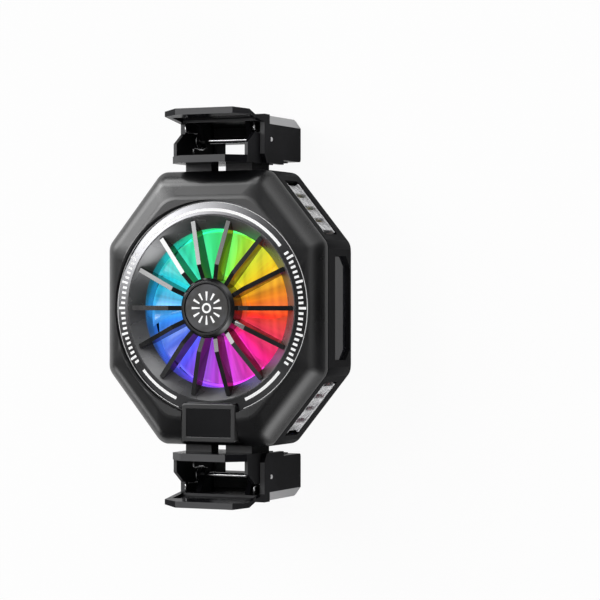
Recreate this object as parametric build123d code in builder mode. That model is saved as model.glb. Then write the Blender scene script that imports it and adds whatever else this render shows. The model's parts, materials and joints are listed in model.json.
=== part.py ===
# Phone cooling fan: an octagonal housing lying on its back, with a sprung clip above and below.
# The fan's axis is Z, the front faces +Z, and the claw tips stand on Z = 0.

from build123d import *

from math import atan2, cos, degrees, hypot, pi, sin, sqrt
import os

os.makedirs("parts", exist_ok=True)

# Housing outline and walls
housing_width = 57.4
height_over_width = 7.4
top_flat = 28.8
side_flat = 30.0
corner_round = 3.5
wall = 1.7
rear_wall = 1.5
fit_gap = 0.05
press_gap = 0.01
overrun = 1.0

# Depths, from the claw tips up to the front
claw_reach = 4.7
plate_proud = 0.2
rear_ring_thick = 1.3
shell_depth = 17.0
rear_bevel_depth = 3.8
rear_bevel_inset = 1.6
rear_bevel_round = 0.8
ring_rise = 3.8

# Front cover: its edge, roll, shoulder and face
cover_edge = 0.8
roll_rise = 2.5
roll_inset = 1.8
shoulder_rise = 1.4
shoulder_inset = 4.5
corner_growth_share = 0.5
edge_round = 1.8
roll_round = 6.0
face_round = 4.0
parting_chamfer = 0.2
tongue_depth = 1.0
tongue_thick = 1.0
ledge_thick = 1.0
ledge_width = 1.3

# Marking ring, funnel and vanes
cover_land = 3.3
ring_width = 3.55
ring_thick = 1.0
ring_rim = 0.35
ring_rim_depth = 0.15
mouth_lip = 0.1
throat_narrowing = 2.95
throat_depth = 2.9
shroud_length = 4.8
funnel_wall = 1.2
flange_thick = 1.0
vane_count = 14
vane_width = 1.1
vane_overhang = 2.2
vane_kink_radius = 10.5
vane_kink_rise = 1.2
vane_tip_drop = 0.3
vane_hub_rise = 0.3
vane_depth = 3.1
vane_seat_gap = 0.1
hub_radius = 7.05
hub_rise = 1.9
hub_bevel = 0.75
hub_overlap = 0.6
hub_disc_radius = 5.8
hub_disc_thick = 0.7
hub_disc_recess = 0.12
disc_edge = 0.25

# Display window at the foot of the ring
display_width = 14.2
display_height = 9.2
display_margin = 5.4
display_round = 0.9
display_wall = 1.3
display_depth = 3.2
display_face_rise = 0.9
lens_thick = 0.8
module_thick = 2.1

# Cold plate, thermoelectric module and heatsink
plate_margin = 5.15
plate_flange_width = 1.05
plate_flange_thick = 1.0
rear_ring_margin = 2.2
rear_ring_clearance = 0.2
rear_screw_margin = 2.0
rear_screw_count = 3
rear_screw_angle = 90
module_share = 0.595
peltier_thick = 2.6
gasket_margin = 0.55
gasket_clearance = 0.25
heatsink_air_gap = 1.6
heatsink_base = 1.9
fin_height = 6.2
fin_count = 40
fin_thick = 0.8
fin_length = 4.2
heatsink_screw_margin = 2.4
heatsink_screw_count = 4
heatsink_screw_angle = 45
boss_radius = 1.7
screw_radius = 0.8
screw_head_radius = 1.45
screw_head_height = 0.9
screw_grip = 1.2
cross_length_share = 1.3
cross_width_share = 0.3

# Boards, lights and diffuser
board_thick = 0.8
led_board_gap = 0.4
led_count = 12
led_margin = 3.7
led_side = 2.0
led_height = 0.8
guide_thick = 1.4
guide_bore_gap = 0.5
control_board_margin = 1.2
control_board_width = 5.2

# Fan, motor and bearing
blade_count = 9
blade_gap = 2.4
blade_tip_gap = 0.8
blade_thick = 0.9
blade_root_chord = 5.0
blade_tip_chord = 10.6
blade_vane_gap = 0.5
cup_radius = 7.9
cup_wall = 0.9
cup_roof = 1.2
cup_floor_gap = 0.6
magnet_thick = 1.0
magnet_gap = 0.3
stator_teeth = 6
stator_slot = 1.4
stator_height = 4.6
motor_foot_radius = 6.2
motor_foot_thick = 0.9
tube_radius = 2.4
sleeve_radius = 1.7
shaft_radius = 1.0
shaft_clearance = 0.04
shaft_foot_gap = 0.4

# Side openings: louvred vents, light window and power inlet
slot_margin = 3.06
slot_height = 7.2
slot_rise = 3.4
slot_end_round = 0.65
louvre_count = 4
louvre_face_share = 0.84
louvre_slant = 0.75
louvre_set_back = 0.12
louvre_back_depth = 2.2
louvre_rail = 0.7
window_length = 24.4
window_height = 8.6
window_rise = 0.6
window_cut_corner = 2.4
window_recess = 0.9
inlet_width = 8.94
inlet_height = 3.2
inlet_depth = 7.3
inlet_shell = 0.3
inlet_clearance = 0.15
tongue_width = 6.6
tongue_height = 0.7
tongue_set_back = 0.6

# Clip base: neck, finger rest and ears
neck_rise = 1.7
neck_half_width = 8.7
neck_gap = 3.8
neck_front_reach = 6.0
neck_plate_depth = 3.8
neck_side_wall = 1.4
rest_thick = 1.7
rest_half_width = 9.75
rest_front_reach = 14.5
rest_front_half_width = 5.9
rest_cut_depth = 3.8
rest_back_reach = 3.6
pivot_rise = 4.2
pivot_set_back = 10.5
ear_thick = 0.8
ear_top_rise = 1.4
ear_front_reach = 10.3
ear_shoulder_reach = 6.4
ear_shoulder_drop = 2.6
ear_back_reach = 3.4
ear_back_drop = 1.2
pin_radius = 0.65
pin_running_gap = 0.06

# Jaw: lever, cheeks and claw, measured from its hinge pin
jaw_half_width = 11.1
cheek_gap = 0.2
lever_front_reach = 13.8
lever_front_rise = 6.9
lever_edge_thick = 1.5
lever_front_half_width = 7.5
lever_cut_depth = 1.6
lever_heel_reach = 8.9
lever_heel_rise = 5.3
lever_dish_rim = 1.3
lever_dish_depth = 0.6
block_top_rise = 5.8
block_front_reach = 4.0
block_under_rise = 3.9
block_front_drop = 3.6
cheek_drop = 5.7
cheek_front_reach = 2.7
claw_step_set_back = 6.7
claw_drop = 4.6
claw_wall = 5.2
claw_window_half_width = 9.3
claw_window_rise = 1.5
claw_window_height = 3.3
claw_round = 0.7
facet_width = 1.6
facet_height = 2.2
facet_front_set_back = 1.1
lever_ear_inner = 5.9
lever_ear_outer = 7.1
lever_ear_radius = 1.7
pad_half_width = 8.0
pad_thick = 1.0
pad_proud = 0.2
pad_edge = 0.7

# Torsion springs beside the levers
wire = 0.45
coil_radius = 1.95
coil_pitch = 0.87
coil_half_turns = 3
spring_leg_reach = 5.4
spring_bend = 0.5
spring_touch_gap = 0.05

# Clip screws, driven from inside the shell
clip_screw_spacing = 9.4
clip_screw_grip = 2.2


# Places worked out from the sizes above
half_width = housing_width / 2
half_height = half_width + height_over_width / 2
half_top = top_flat / 2
half_side = side_flat / 2

ring_radius = half_width - cover_land
ring_inner_radius = ring_radius - ring_width
mouth_radius = ring_inner_radius - mouth_lip
throat_radius = mouth_radius - throat_narrowing
vane_reach = throat_radius + vane_overhang
blade_tip_radius = throat_radius - blade_tip_gap
display_offset = half_height - display_margin

rear_ring_radius = half_width - rear_bevel_inset - rear_ring_margin
rear_screw_radius = rear_ring_radius - rear_screw_margin
plate_radius = rear_ring_radius - plate_margin
plate_flange_radius = plate_radius + plate_flange_width
module_side = 2 * plate_radius * module_share
gasket_radius = plate_radius - gasket_margin
heatsink_radius = half_width - wall - heatsink_air_gap
heatsink_screw_radius = heatsink_radius - heatsink_screw_margin
control_board_radius = half_width - wall - control_board_margin
control_board_inner_radius = control_board_radius - control_board_width
led_board_radius = control_board_inner_radius - led_board_gap
led_circle_radius = led_board_radius - led_margin

rear_ring_z = claw_reach + plate_proud
shell_rear_z = rear_ring_z + rear_ring_thick
rear_inner_z = shell_rear_z + rear_wall
parting_z = shell_rear_z + shell_depth
ring_z = parting_z + ring_rise
edge_z = parting_z + cover_edge
roll_z = edge_z + roll_rise
face_z = roll_z + shoulder_rise

flange_z = shell_rear_z + fit_gap
peltier_z = flange_z + plate_flange_thick
heatsink_z = peltier_z + peltier_thick
fin_z = heatsink_z + heatsink_base
control_z = fin_z + fin_height
led_z = fin_z + board_thick
guide_z = led_z + led_height
guide_top_z = guide_z + guide_thick

mouth_z = ring_z - fit_gap
throat_z = mouth_z - throat_depth
shroud_z = throat_z - shroud_length
funnel_flange_z = ring_z - ring_thick - flange_thick
vane_floor_z = ring_z - vane_depth
hub_top_z = ring_z + hub_rise

blade_floor_z = guide_top_z + blade_gap
blade_top_z = vane_floor_z - blade_vane_gap
cup_top_z = blade_top_z
cup_floor_z = guide_z + cup_floor_gap

inlet_z = control_z + board_thick
slot_z = rear_inner_z + slot_rise + rear_bevel_depth - rear_wall
slot_middle_z = slot_z + slot_height / 2
window_z = shell_rear_z + rear_bevel_depth + window_rise

clip_y = half_height
rest_y = clip_y + neck_rise
rest_top_y = rest_y + rest_thick
pivot_y = rest_top_y + pivot_rise
pivot_z = ring_z - pivot_set_back
rest_back_z = pivot_z - rest_back_reach
neck_front_z = pivot_z + neck_front_reach
clip_screw_z = neck_front_z - neck_plate_depth / 2

diagonal_run = half_width - half_top
diagonal_rise = half_height - half_side
diagonal_length = hypot(diagonal_run, diagonal_rise)
slot_length = diagonal_length - 2 * slot_margin
diagonal_x = (half_width + half_top) / 2
diagonal_y = (half_height + half_side) / 2


def housing_outline(inset, rounding):
    """The rounded octagon of the housing, with every wall moved in by the inset."""
    with BuildSketch(mode=Mode.PRIVATE) as outline:
        with BuildLine():
            Polyline(
                (half_top, half_height),
                (half_width, half_side),
                (half_width, -half_side),
                (half_top, -half_height),
                (-half_top, -half_height),
                (-half_width, -half_side),
                (-half_width, half_side),
                (-half_top, half_height),
                close=True,
            )
        make_face()
        if inset > 0:
            offset(amount=-inset, kind=Kind.INTERSECTION, mode=Mode.REPLACE)
        fillet(outline.vertices(), radius=rounding)
    return outline.sketch


def annulus(outer, inner):
    """A flat ring for use in the sketch that it is added to."""
    with BuildSketch(mode=Mode.PRIVATE) as flat_ring:
        Circle(outer)
        Circle(inner, mode=Mode.SUBTRACT)
    return flat_ring.sketch


def finish(piece, name):
    """Label a finished piece and write it to its own file."""
    piece.label = name
    export_step(piece, f"parts/{name}.step")


# Body shell: side walls, rear bevel and rear wall in one moulding
bevel_top_z = shell_rear_z + rear_bevel_depth
inner_bevel_inset = rear_bevel_inset + wall

with BuildPart() as body_shell:
    with BuildSketch(Plane.XY.offset(shell_rear_z)):
        add(housing_outline(rear_bevel_inset, corner_round))
    with BuildSketch(Plane.XY.offset(bevel_top_z)):
        add(housing_outline(0, corner_round))
    loft(ruled=True)
    with BuildSketch(Plane.XY.offset(bevel_top_z)):
        add(housing_outline(0, corner_round))
    extrude(amount=parting_z - bevel_top_z)
    rear_edges = body_shell.edges().group_by(Axis.Z)[0]
    fillet(rear_edges, radius=rear_bevel_round)
    chamfer(body_shell.faces().sort_by(Axis.Z)[-1].outer_wire().edges(), length=parting_chamfer)
    # The hollow inside follows the walls
    with BuildSketch(Plane.XY.offset(rear_inner_z)):
        add(housing_outline(inner_bevel_inset, corner_round - wall))
    with BuildSketch(Plane.XY.offset(bevel_top_z)):
        add(housing_outline(wall, corner_round - wall))
    loft(ruled=True, mode=Mode.SUBTRACT)
    with BuildSketch(Plane.XY.offset(bevel_top_z)):
        add(housing_outline(wall, corner_round - wall))
    extrude(amount=parting_z - bevel_top_z + overrun, mode=Mode.SUBTRACT)
    # Bosses for the heatsink's screws stand on the rear wall
    with BuildSketch(Plane.XY.offset(shell_rear_z + rear_wall / 2)):
        with PolarLocations(heatsink_screw_radius, heatsink_screw_count, start_angle=heatsink_screw_angle):
            Circle(boss_radius)
    extrude(amount=heatsink_z - shell_rear_z - rear_wall / 2)
    with BuildSketch(Plane.XY.offset(shell_rear_z + rear_wall / 2)):
        with PolarLocations(rear_screw_radius, rear_screw_count, start_angle=rear_screw_angle):
            Circle(boss_radius)
    extrude(amount=heatsink_z - fit_gap - shell_rear_z - rear_wall / 2)
    # The opening for the cold plate
    with BuildSketch(Plane.XY.offset(shell_rear_z - overrun)):
        Circle(plate_flange_radius + rear_ring_clearance)
    extrude(amount=rear_wall + 2 * overrun, mode=Mode.SUBTRACT)
    # Threads of the heatsink's screws and of the rear ring's screws
    with BuildSketch(Plane.XY.offset(shell_rear_z + rear_wall / 2)):
        with PolarLocations(heatsink_screw_radius, heatsink_screw_count, start_angle=heatsink_screw_angle):
            Circle(screw_radius)
    extrude(amount=heatsink_z - shell_rear_z, mode=Mode.SUBTRACT)
    with BuildSketch(Plane.XY.offset(shell_rear_z - overrun)):
        with PolarLocations(rear_screw_radius, rear_screw_count, start_angle=rear_screw_angle):
            Circle(screw_radius)
    extrude(amount=overrun + rear_wall + screw_grip, mode=Mode.SUBTRACT)
    # Slots of the four louvred vents
    for side in (1, -1):
        for end in (1, -1):
            wall_plane = Plane(
                origin=(side * diagonal_x, end * diagonal_y, slot_middle_z),
                x_dir=(side * diagonal_run, -end * diagonal_rise, 0),
                z_dir=(side * diagonal_rise, end * diagonal_run, 0),
            )
            with BuildSketch(wall_plane.offset(overrun)):
                RectangleRounded(slot_length, slot_height, slot_end_round)
            extrude(amount=-(wall + 2 * overrun), mode=Mode.SUBTRACT)
    # Light window in the right wall, its rear corners cut off
    with BuildSketch(Plane.YZ.offset(half_width + overrun)):
        with BuildLine():
            Polyline(
                (-window_length / 2 + window_cut_corner, window_z),
                (window_length / 2 - window_cut_corner, window_z),
                (window_length / 2, window_z + window_cut_corner),
                (window_length / 2, window_z + window_height),
                (-window_length / 2, window_z + window_height),
                (-window_length / 2, window_z + window_cut_corner),
                close=True,
            )
        make_face()
    extrude(amount=-(wall + 2 * overrun), mode=Mode.SUBTRACT)
    # Mouth of the power inlet in the left wall
    with BuildSketch(Plane.YZ.offset(-half_width - overrun)):
        with Locations((0, inlet_z + inlet_height / 2)):
            SlotOverall(inlet_width + 2 * inlet_clearance, inlet_height + 2 * inlet_clearance)
    extrude(amount=wall + 2 * overrun, mode=Mode.SUBTRACT)
    # Holes for the clips' screws
    with BuildSketch(Plane.XZ.offset(-half_height - overrun)):
        with Locations((-clip_screw_spacing / 2, clip_screw_z), (clip_screw_spacing / 2, clip_screw_z)):
            Circle(screw_radius)
    extrude(amount=2 * (half_height + overrun), mode=Mode.SUBTRACT)
finish(body_shell.part, "body_shell")


# Front cover: edge, roll and shoulder round the fan opening
cover_sections = (
    (parting_z, 0),
    (edge_z, 0),
    (roll_z, roll_inset),
    (face_z, roll_inset + shoulder_inset),
)
ledge_top_z = funnel_flange_z
ledge_z = ledge_top_z - ledge_thick
opening_radius = ring_radius + fit_gap
display_floor_z = ring_z + display_face_rise - display_depth

with BuildPart() as front_cover:
    for section_z, inset in cover_sections:
        with BuildSketch(Plane.XY.offset(section_z)):
            add(housing_outline(inset, corner_round + inset * corner_growth_share))
    loft(ruled=True)
    for soft_z, soft_round in ((edge_z, edge_round), (roll_z, roll_round), (face_z, face_round)):
        soft_edges = front_cover.edges().filter_by_position(Axis.Z, soft_z - fit_gap, soft_z + fit_gap)
        fillet(soft_edges, radius=soft_round)
    chamfer(front_cover.faces().sort_by(Axis.Z)[0].outer_wire().edges(), length=parting_chamfer)
    # The tongue seats inside the body shell's rim
    with BuildSketch(Plane.XY.offset(parting_z - tongue_depth)):
        add(housing_outline(wall + fit_gap, corner_round - wall))
    extrude(amount=tongue_depth)
    with BuildSketch(Plane.XY.offset(parting_z - tongue_depth - overrun)):
        add(housing_outline(wall + fit_gap + tongue_thick, corner_round - wall - tongue_thick / 2))
    extrude(amount=tongue_depth + overrun + ledge_z - parting_z, mode=Mode.SUBTRACT)
    # The opening, with the ledge that carries the funnel
    with BuildSketch(Plane.XY.offset(parting_z - overrun)):
        Circle(ring_radius - ledge_width)
    extrude(amount=face_z - parting_z + 2 * overrun, mode=Mode.SUBTRACT)
    with BuildSketch(Plane.XY.offset(ledge_top_z)):
        Circle(opening_radius)
    extrude(amount=face_z - ledge_top_z + overrun, mode=Mode.SUBTRACT)
    # Pocket of the display
    with BuildSketch(Plane.XY.offset(display_floor_z)):
        with Locations((0, -display_offset)):
            Rectangle(display_width + 2 * fit_gap, display_height + 2 * fit_gap)
    extrude(amount=face_z - display_floor_z + overrun, mode=Mode.SUBTRACT)
finish(front_cover.part, "front_cover")


# Air funnel: flange, mouth cone and the shroud round the fan
shroud_radius = throat_radius + funnel_wall

with BuildPart() as air_funnel:
    with BuildSketch(Plane.XZ):
        with BuildLine():
            Polyline(
                (throat_radius, shroud_z),
                (throat_radius, throat_z),
                (mouth_radius, mouth_z),
                (ring_inner_radius - fit_gap, mouth_z),
                (ring_inner_radius - fit_gap, funnel_flange_z + flange_thick),
                (ring_radius, funnel_flange_z + flange_thick),
                (ring_radius, funnel_flange_z),
                (mouth_radius, funnel_flange_z),
                (shroud_radius, throat_z),
                (shroud_radius, shroud_z),
                close=True,
            )
        make_face()
    revolve(axis=Axis.Z)
    with BuildSketch(Plane.XY.offset(funnel_flange_z - overrun)):
        with Locations((0, -display_offset)):
            Rectangle(display_width + 2 * fit_gap, display_height + 2 * fit_gap)
    extrude(amount=flange_thick + ring_thick + 2 * overrun, mode=Mode.SUBTRACT)
finish(air_funnel.part, "air_funnel")


# Marking ring: a flat ring with a narrow raised rim on both edges
with BuildPart() as marking_ring:
    with BuildSketch(Plane.XY.offset(ring_z - ring_thick)):
        add(annulus(ring_radius, ring_inner_radius))
    extrude(amount=ring_thick)
    with BuildSketch(Plane.XY.offset(ring_z - ring_rim_depth)):
        add(annulus(ring_radius - ring_rim, ring_inner_radius + ring_rim))
    extrude(amount=ring_rim_depth + overrun, mode=Mode.SUBTRACT)
    with BuildSketch(Plane.XY.offset(ring_z - ring_thick - overrun)):
        with Locations((0, -display_offset)):
            Rectangle(display_width + 2 * fit_gap, display_height + 2 * fit_gap)
    extrude(amount=ring_thick + 2 * overrun, mode=Mode.SUBTRACT)
finish(marking_ring.part, "marking_ring")


# Vane grille: straight vanes, highest at a kink, round a hub with a recess for its disc
cone_slope = throat_depth / (mouth_radius - throat_radius)
vane_throat_radius = throat_radius - vane_seat_gap
vane_tip_floor_z = throat_z + (vane_reach - throat_radius) * cone_slope + vane_seat_gap
vane_tip_z = ring_z - vane_tip_drop

with BuildPart() as grille:
    with BuildSketch(Plane.XZ):
        with BuildLine():
            Polyline(
                (0, vane_floor_z),
                (hub_radius, vane_floor_z),
                (hub_radius, hub_top_z - hub_bevel),
                (hub_radius - hub_bevel, hub_top_z),
                (hub_disc_radius + fit_gap, hub_top_z),
                (hub_disc_radius + fit_gap, hub_top_z - hub_disc_thick - hub_disc_recess),
                (0, hub_top_z - hub_disc_thick - hub_disc_recess),
                close=True,
            )
        make_face()
    revolve(axis=Axis.Z)
    for vane in range(vane_count):
        vane_plane = Plane.XZ.rotated((0, 0, vane * 360 / vane_count))
        with BuildSketch(vane_plane):
            with BuildLine():
                Polyline(
                    (hub_radius - hub_overlap, vane_floor_z),
                    (vane_throat_radius, vane_floor_z),
                    (vane_throat_radius, throat_z + vane_seat_gap),
                    (vane_reach, vane_tip_floor_z),
                    (vane_reach, vane_tip_z),
                    (vane_kink_radius, ring_z + vane_kink_rise),
                    (hub_radius - hub_overlap, ring_z + vane_hub_rise),
                    close=True,
                )
            make_face()
        extrude(amount=vane_width / 2, both=True)
finish(grille.part, "grille")


# Hub disc: the small cap set into the hub
with BuildPart() as hub_disc:
    with BuildSketch(Plane.XY.offset(hub_top_z - hub_disc_thick - hub_disc_recess)):
        Circle(hub_disc_radius)
    extrude(amount=hub_disc_thick)
    chamfer(hub_disc.faces().sort_by(Axis.Z)[-1].edges(), length=disc_edge)
finish(hub_disc.part, "hub_disc")


# Display: frame, dark lens and the digit module under it
display_top_z = ring_z + display_face_rise

with BuildPart() as display_frame:
    with BuildSketch(Plane.XY.offset(display_floor_z)):
        with Locations((0, -display_offset)):
            RectangleRounded(display_width, display_height, display_round)
            Rectangle(
                display_width - 2 * display_wall,
                display_height - 2 * display_wall,
                mode=Mode.SUBTRACT,
            )
    extrude(amount=display_depth)
    chamfer(display_frame.faces().sort_by(Axis.Z)[-1].outer_wire().edges(), length=parting_chamfer)
finish(display_frame.part, "display_frame")

with BuildPart() as display_lens:
    with BuildSketch(Plane.XY.offset(display_top_z - lens_thick - parting_chamfer / 2)):
        with Locations((0, -display_offset)):
            Rectangle(
                display_width - 2 * display_wall - fit_gap,
                display_height - 2 * display_wall - fit_gap,
            )
    extrude(amount=lens_thick)
finish(display_lens.part, "display_lens")

with BuildPart() as display_module:
    with BuildSketch(Plane.XY.offset(display_top_z - lens_thick - parting_chamfer / 2 - module_thick)):
        with Locations((0, -display_offset)):
            Rectangle(
                display_width - 2 * display_wall - 2 * fit_gap,
                display_height - 2 * display_wall - 2 * fit_gap,
            )
    extrude(amount=module_thick)
finish(display_module.part, "display_module")


# Rear ring: holds the cold plate's flange against the body shell
with BuildPart() as rear_ring:
    with BuildSketch(Plane.XY.offset(rear_ring_z)):
        add(annulus(rear_ring_radius, plate_radius + rear_ring_clearance))
    extrude(amount=rear_ring_thick)
    chamfer(rear_ring.faces().sort_by(Axis.Z)[0].outer_wire().edges(), length=plate_proud * 2)
    with BuildSketch(Plane.XY.offset(rear_ring_z - overrun)):
        with PolarLocations(rear_screw_radius, rear_screw_count, start_angle=rear_screw_angle):
            Circle(screw_radius)
    extrude(amount=rear_ring_thick + 2 * overrun, mode=Mode.SUBTRACT)
    with BuildSketch(Plane.XY.offset(rear_ring_z - overrun)):
        with PolarLocations(rear_screw_radius, rear_screw_count, start_angle=rear_screw_angle):
            Circle(screw_head_radius + fit_gap)
    extrude(amount=overrun + screw_head_height, mode=Mode.SUBTRACT)
finish(rear_ring.part, "rear_ring")


def screw_shape(base_plane, places, head_height, shank_length):
    """A group of cap screws: heads below the plane, shanks along its normal, with a cross in each head."""
    with BuildPart(mode=Mode.PRIVATE) as screws:
        with BuildSketch(base_plane.offset(-head_height)):
            with places:
                Circle(screw_head_radius)
        extrude(amount=head_height)
        with BuildSketch(base_plane):
            with places:
                Circle(screw_radius - fit_gap / 2)
        extrude(amount=shank_length)
        with BuildSketch(base_plane.offset(-head_height)):
            with places:
                Rectangle(screw_head_radius * cross_length_share, screw_head_radius * cross_width_share)
                Rectangle(screw_head_radius * cross_width_share, screw_head_radius * cross_length_share)
        extrude(amount=head_height / 2, mode=Mode.SUBTRACT)
    return screws.part


finish(
    screw_shape(
        Plane.XY.offset(rear_ring_z + screw_head_height),
        PolarLocations(rear_screw_radius, rear_screw_count, start_angle=rear_screw_angle),
        screw_head_height,
        rear_ring_thick - screw_head_height + rear_wall + screw_grip - fit_gap,
    ),
    "rear_ring_screws",
)


# Cold plate: the face that touches the phone, and the flange behind the rear ring
with BuildPart() as cold_plate:
    with BuildSketch(Plane.XY.offset(claw_reach)):
        Circle(plate_radius)
    extrude(amount=flange_z + plate_flange_thick - claw_reach)
    chamfer(cold_plate.faces().sort_by(Axis.Z)[0].edges(), length=plate_proud)
    with BuildSketch(Plane.XY.offset(flange_z)):
        Circle(plate_flange_radius)
    extrude(amount=plate_flange_thick)
finish(cold_plate.part, "cold_plate")

with BuildPart() as peltier_module:
    with BuildSketch(Plane.XY.offset(peltier_z)):
        Rectangle(module_side, module_side)
    extrude(amount=peltier_thick)
finish(peltier_module.part, "peltier_module")

with BuildPart() as foam_gasket:
    with BuildSketch(Plane.XY.offset(peltier_z)):
        Circle(gasket_radius)
        Rectangle(module_side + 2 * gasket_clearance, module_side + 2 * gasket_clearance, mode=Mode.SUBTRACT)
    extrude(amount=peltier_thick)
finish(foam_gasket.part, "foam_gasket")


# Heatsink: a round base with a ring of radial fins, cut clear of its screws and of the power inlet
fin_radius = heatsink_radius - fin_length / 2

with BuildPart() as heatsink:
    with BuildSketch(Plane.XY.offset(heatsink_z)):
        Circle(heatsink_radius)
    extrude(amount=heatsink_base)
    with BuildSketch(Plane.XY.offset(fin_z)):
        with PolarLocations(fin_radius, fin_count):
            Rectangle(fin_length, fin_thick)
    extrude(amount=fin_height)
    with BuildSketch(Plane.XY.offset(fin_z)):
        with PolarLocations(heatsink_screw_radius, heatsink_screw_count, start_angle=heatsink_screw_angle):
            Circle(screw_head_radius + rear_ring_clearance)
    extrude(amount=fin_height + overrun, mode=Mode.SUBTRACT)
    with BuildSketch(Plane.XY.offset(heatsink_z - overrun)):
        with PolarLocations(heatsink_screw_radius, heatsink_screw_count, start_angle=heatsink_screw_angle):
            Circle(screw_radius)
    extrude(amount=heatsink_base + 2 * overrun, mode=Mode.SUBTRACT)
finish(heatsink.part, "heatsink")

finish(
    screw_shape(
        Plane.XY.offset(fin_z).rotated((180, 0, 0)),
        PolarLocations(heatsink_screw_radius, heatsink_screw_count, start_angle=heatsink_screw_angle),
        screw_head_height,
        heatsink_base + screw_grip,
    ),
    "heatsink_screws",
)


# Boards, lights and the diffuser that spreads the light under the fan
guide_bore = cup_radius + guide_bore_gap

with BuildPart() as led_board:
    with BuildSketch(Plane.XY.offset(fin_z)):
        add(annulus(led_board_radius, motor_foot_radius + fit_gap))
    extrude(amount=board_thick)
finish(led_board.part, "led_board")

with BuildPart() as leds:
    with BuildSketch(Plane.XY.offset(led_z)):
        with PolarLocations(led_circle_radius, led_count):
            Rectangle(led_side, led_side)
    extrude(amount=led_height)
finish(leds.part, "leds")

with BuildPart() as light_guide:
    with BuildSketch(Plane.XY.offset(guide_z)):
        add(annulus(led_board_radius, guide_bore))
    extrude(amount=guide_thick)
    chamfer(light_guide.faces().sort_by(Axis.Z)[-1].outer_wire().edges(), length=parting_chamfer)
finish(light_guide.part, "light_guide")

with BuildPart() as control_board:
    with BuildSketch(Plane.XY.offset(control_z)):
        add(annulus(control_board_radius, control_board_inner_radius))
    extrude(amount=board_thick)
finish(control_board.part, "control_board")


# Power inlet: a flat metal socket with a tongue, standing on the control board
inlet_mouth_x = -half_width + wall / 4
inlet_plane = Plane.YZ.offset(inlet_mouth_x)

with BuildPart() as inlet_shell_part:
    with BuildSketch(inlet_plane):
        with Locations((0, inlet_z + inlet_height / 2)):
            SlotOverall(inlet_width, inlet_height)
    extrude(amount=inlet_depth)
    with BuildSketch(inlet_plane.offset(-overrun)):
        with Locations((0, inlet_z + inlet_height / 2)):
            SlotOverall(inlet_width - 2 * inlet_shell, inlet_height - 2 * inlet_shell)
    extrude(amount=inlet_depth - inlet_shell + overrun, mode=Mode.SUBTRACT)
finish(inlet_shell_part.part, "inlet_shell")

with BuildPart() as inlet_tongue:
    with BuildSketch(inlet_plane.offset(tongue_set_back)):
        with Locations((0, inlet_z + inlet_height / 2)):
            Rectangle(tongue_width, tongue_height)
    extrude(amount=inlet_depth - inlet_shell - tongue_set_back)
finish(inlet_tongue.part, "inlet_tongue")


# Motor base, bearing sleeve, stator, magnet, shaft and rotor
tube_top_z = cup_top_z - cup_roof - magnet_gap
stator_radius = cup_radius - cup_wall - magnet_thick - magnet_gap
stator_z = fin_z + motor_foot_thick + magnet_gap
sleeve_z = fin_z + motor_foot_thick

with BuildPart() as motor_base:
    with BuildSketch(Plane.XY.offset(fin_z)):
        Circle(motor_foot_radius)
    extrude(amount=motor_foot_thick)
    with BuildSketch(Plane.XY.offset(fin_z)):
        Circle(tube_radius)
    extrude(amount=tube_top_z - fin_z)
    with BuildSketch(Plane.XY.offset(sleeve_z)):
        Circle(sleeve_radius)
    extrude(amount=tube_top_z - sleeve_z + overrun, mode=Mode.SUBTRACT)
finish(motor_base.part, "motor_base")

with BuildPart() as bearing_sleeve:
    with BuildSketch(Plane.XY.offset(sleeve_z)):
        add(annulus(sleeve_radius - press_gap, shaft_radius + shaft_clearance))
    extrude(amount=tube_top_z - sleeve_z)
finish(bearing_sleeve.part, "bearing_sleeve")

with BuildPart() as stator:
    with BuildSketch(Plane.XY.offset(stator_z)):
        add(annulus(stator_radius, tube_radius + press_gap))
        with PolarLocations(stator_radius, stator_teeth):
            Rectangle(stator_radius - tube_radius, stator_slot, mode=Mode.SUBTRACT)
    extrude(amount=stator_height)
finish(stator.part, "stator")

with BuildPart() as rotor_magnet:
    with BuildSketch(Plane.XY.offset(cup_floor_z + fit_gap)):
        add(annulus(cup_radius - cup_wall - press_gap, cup_radius - cup_wall - magnet_thick))
    extrude(amount=cup_top_z - cup_roof - cup_floor_z - 2 * fit_gap)
finish(rotor_magnet.part, "rotor_magnet")

with BuildPart() as fan_shaft:
    with BuildSketch(Plane.XY.offset(sleeve_z + shaft_foot_gap)):
        Circle(shaft_radius)
    extrude(amount=cup_top_z - cup_roof - sleeve_z - shaft_foot_gap)
finish(fan_shaft.part, "fan_shaft")

blade_middle_z = (blade_floor_z + blade_top_z) / 2
blade_height = blade_top_z - blade_floor_z
root_radius = cup_radius - cup_wall / 2
root_slant = degrees(atan2(blade_height, blade_root_chord))
tip_slant = degrees(atan2(blade_height, blade_tip_chord))
root_length = hypot(blade_height, blade_root_chord)
tip_length = hypot(blade_height, blade_tip_chord)

with BuildPart() as fan_rotor:
    for blade in range(blade_count):
        blade_frame = Plane.YZ.rotated((0, 0, blade * 360 / blade_count))
        with BuildSketch(blade_frame.offset(root_radius)):
            with Locations((0, blade_middle_z)):
                Rectangle(root_length, blade_thick, rotation=root_slant)
        with BuildSketch(blade_frame.offset(blade_tip_radius + overrun)):
            with Locations((0, blade_middle_z)):
                Rectangle(tip_length, blade_thick, rotation=tip_slant)
        loft()
    with BuildSketch(Plane.XY.offset(blade_floor_z)):
        add(annulus(blade_tip_radius, root_radius))
    extrude(amount=blade_height, mode=Mode.INTERSECT)
    with BuildSketch(Plane.XY.offset(cup_floor_z)):
        Circle(cup_radius)
    extrude(amount=cup_top_z - cup_floor_z)
    with BuildSketch(Plane.XY.offset(cup_floor_z)):
        Circle(cup_radius - cup_wall)
    extrude(amount=cup_top_z - cup_roof - cup_floor_z, mode=Mode.SUBTRACT)
finish(fan_rotor.part, "fan_rotor")


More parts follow.
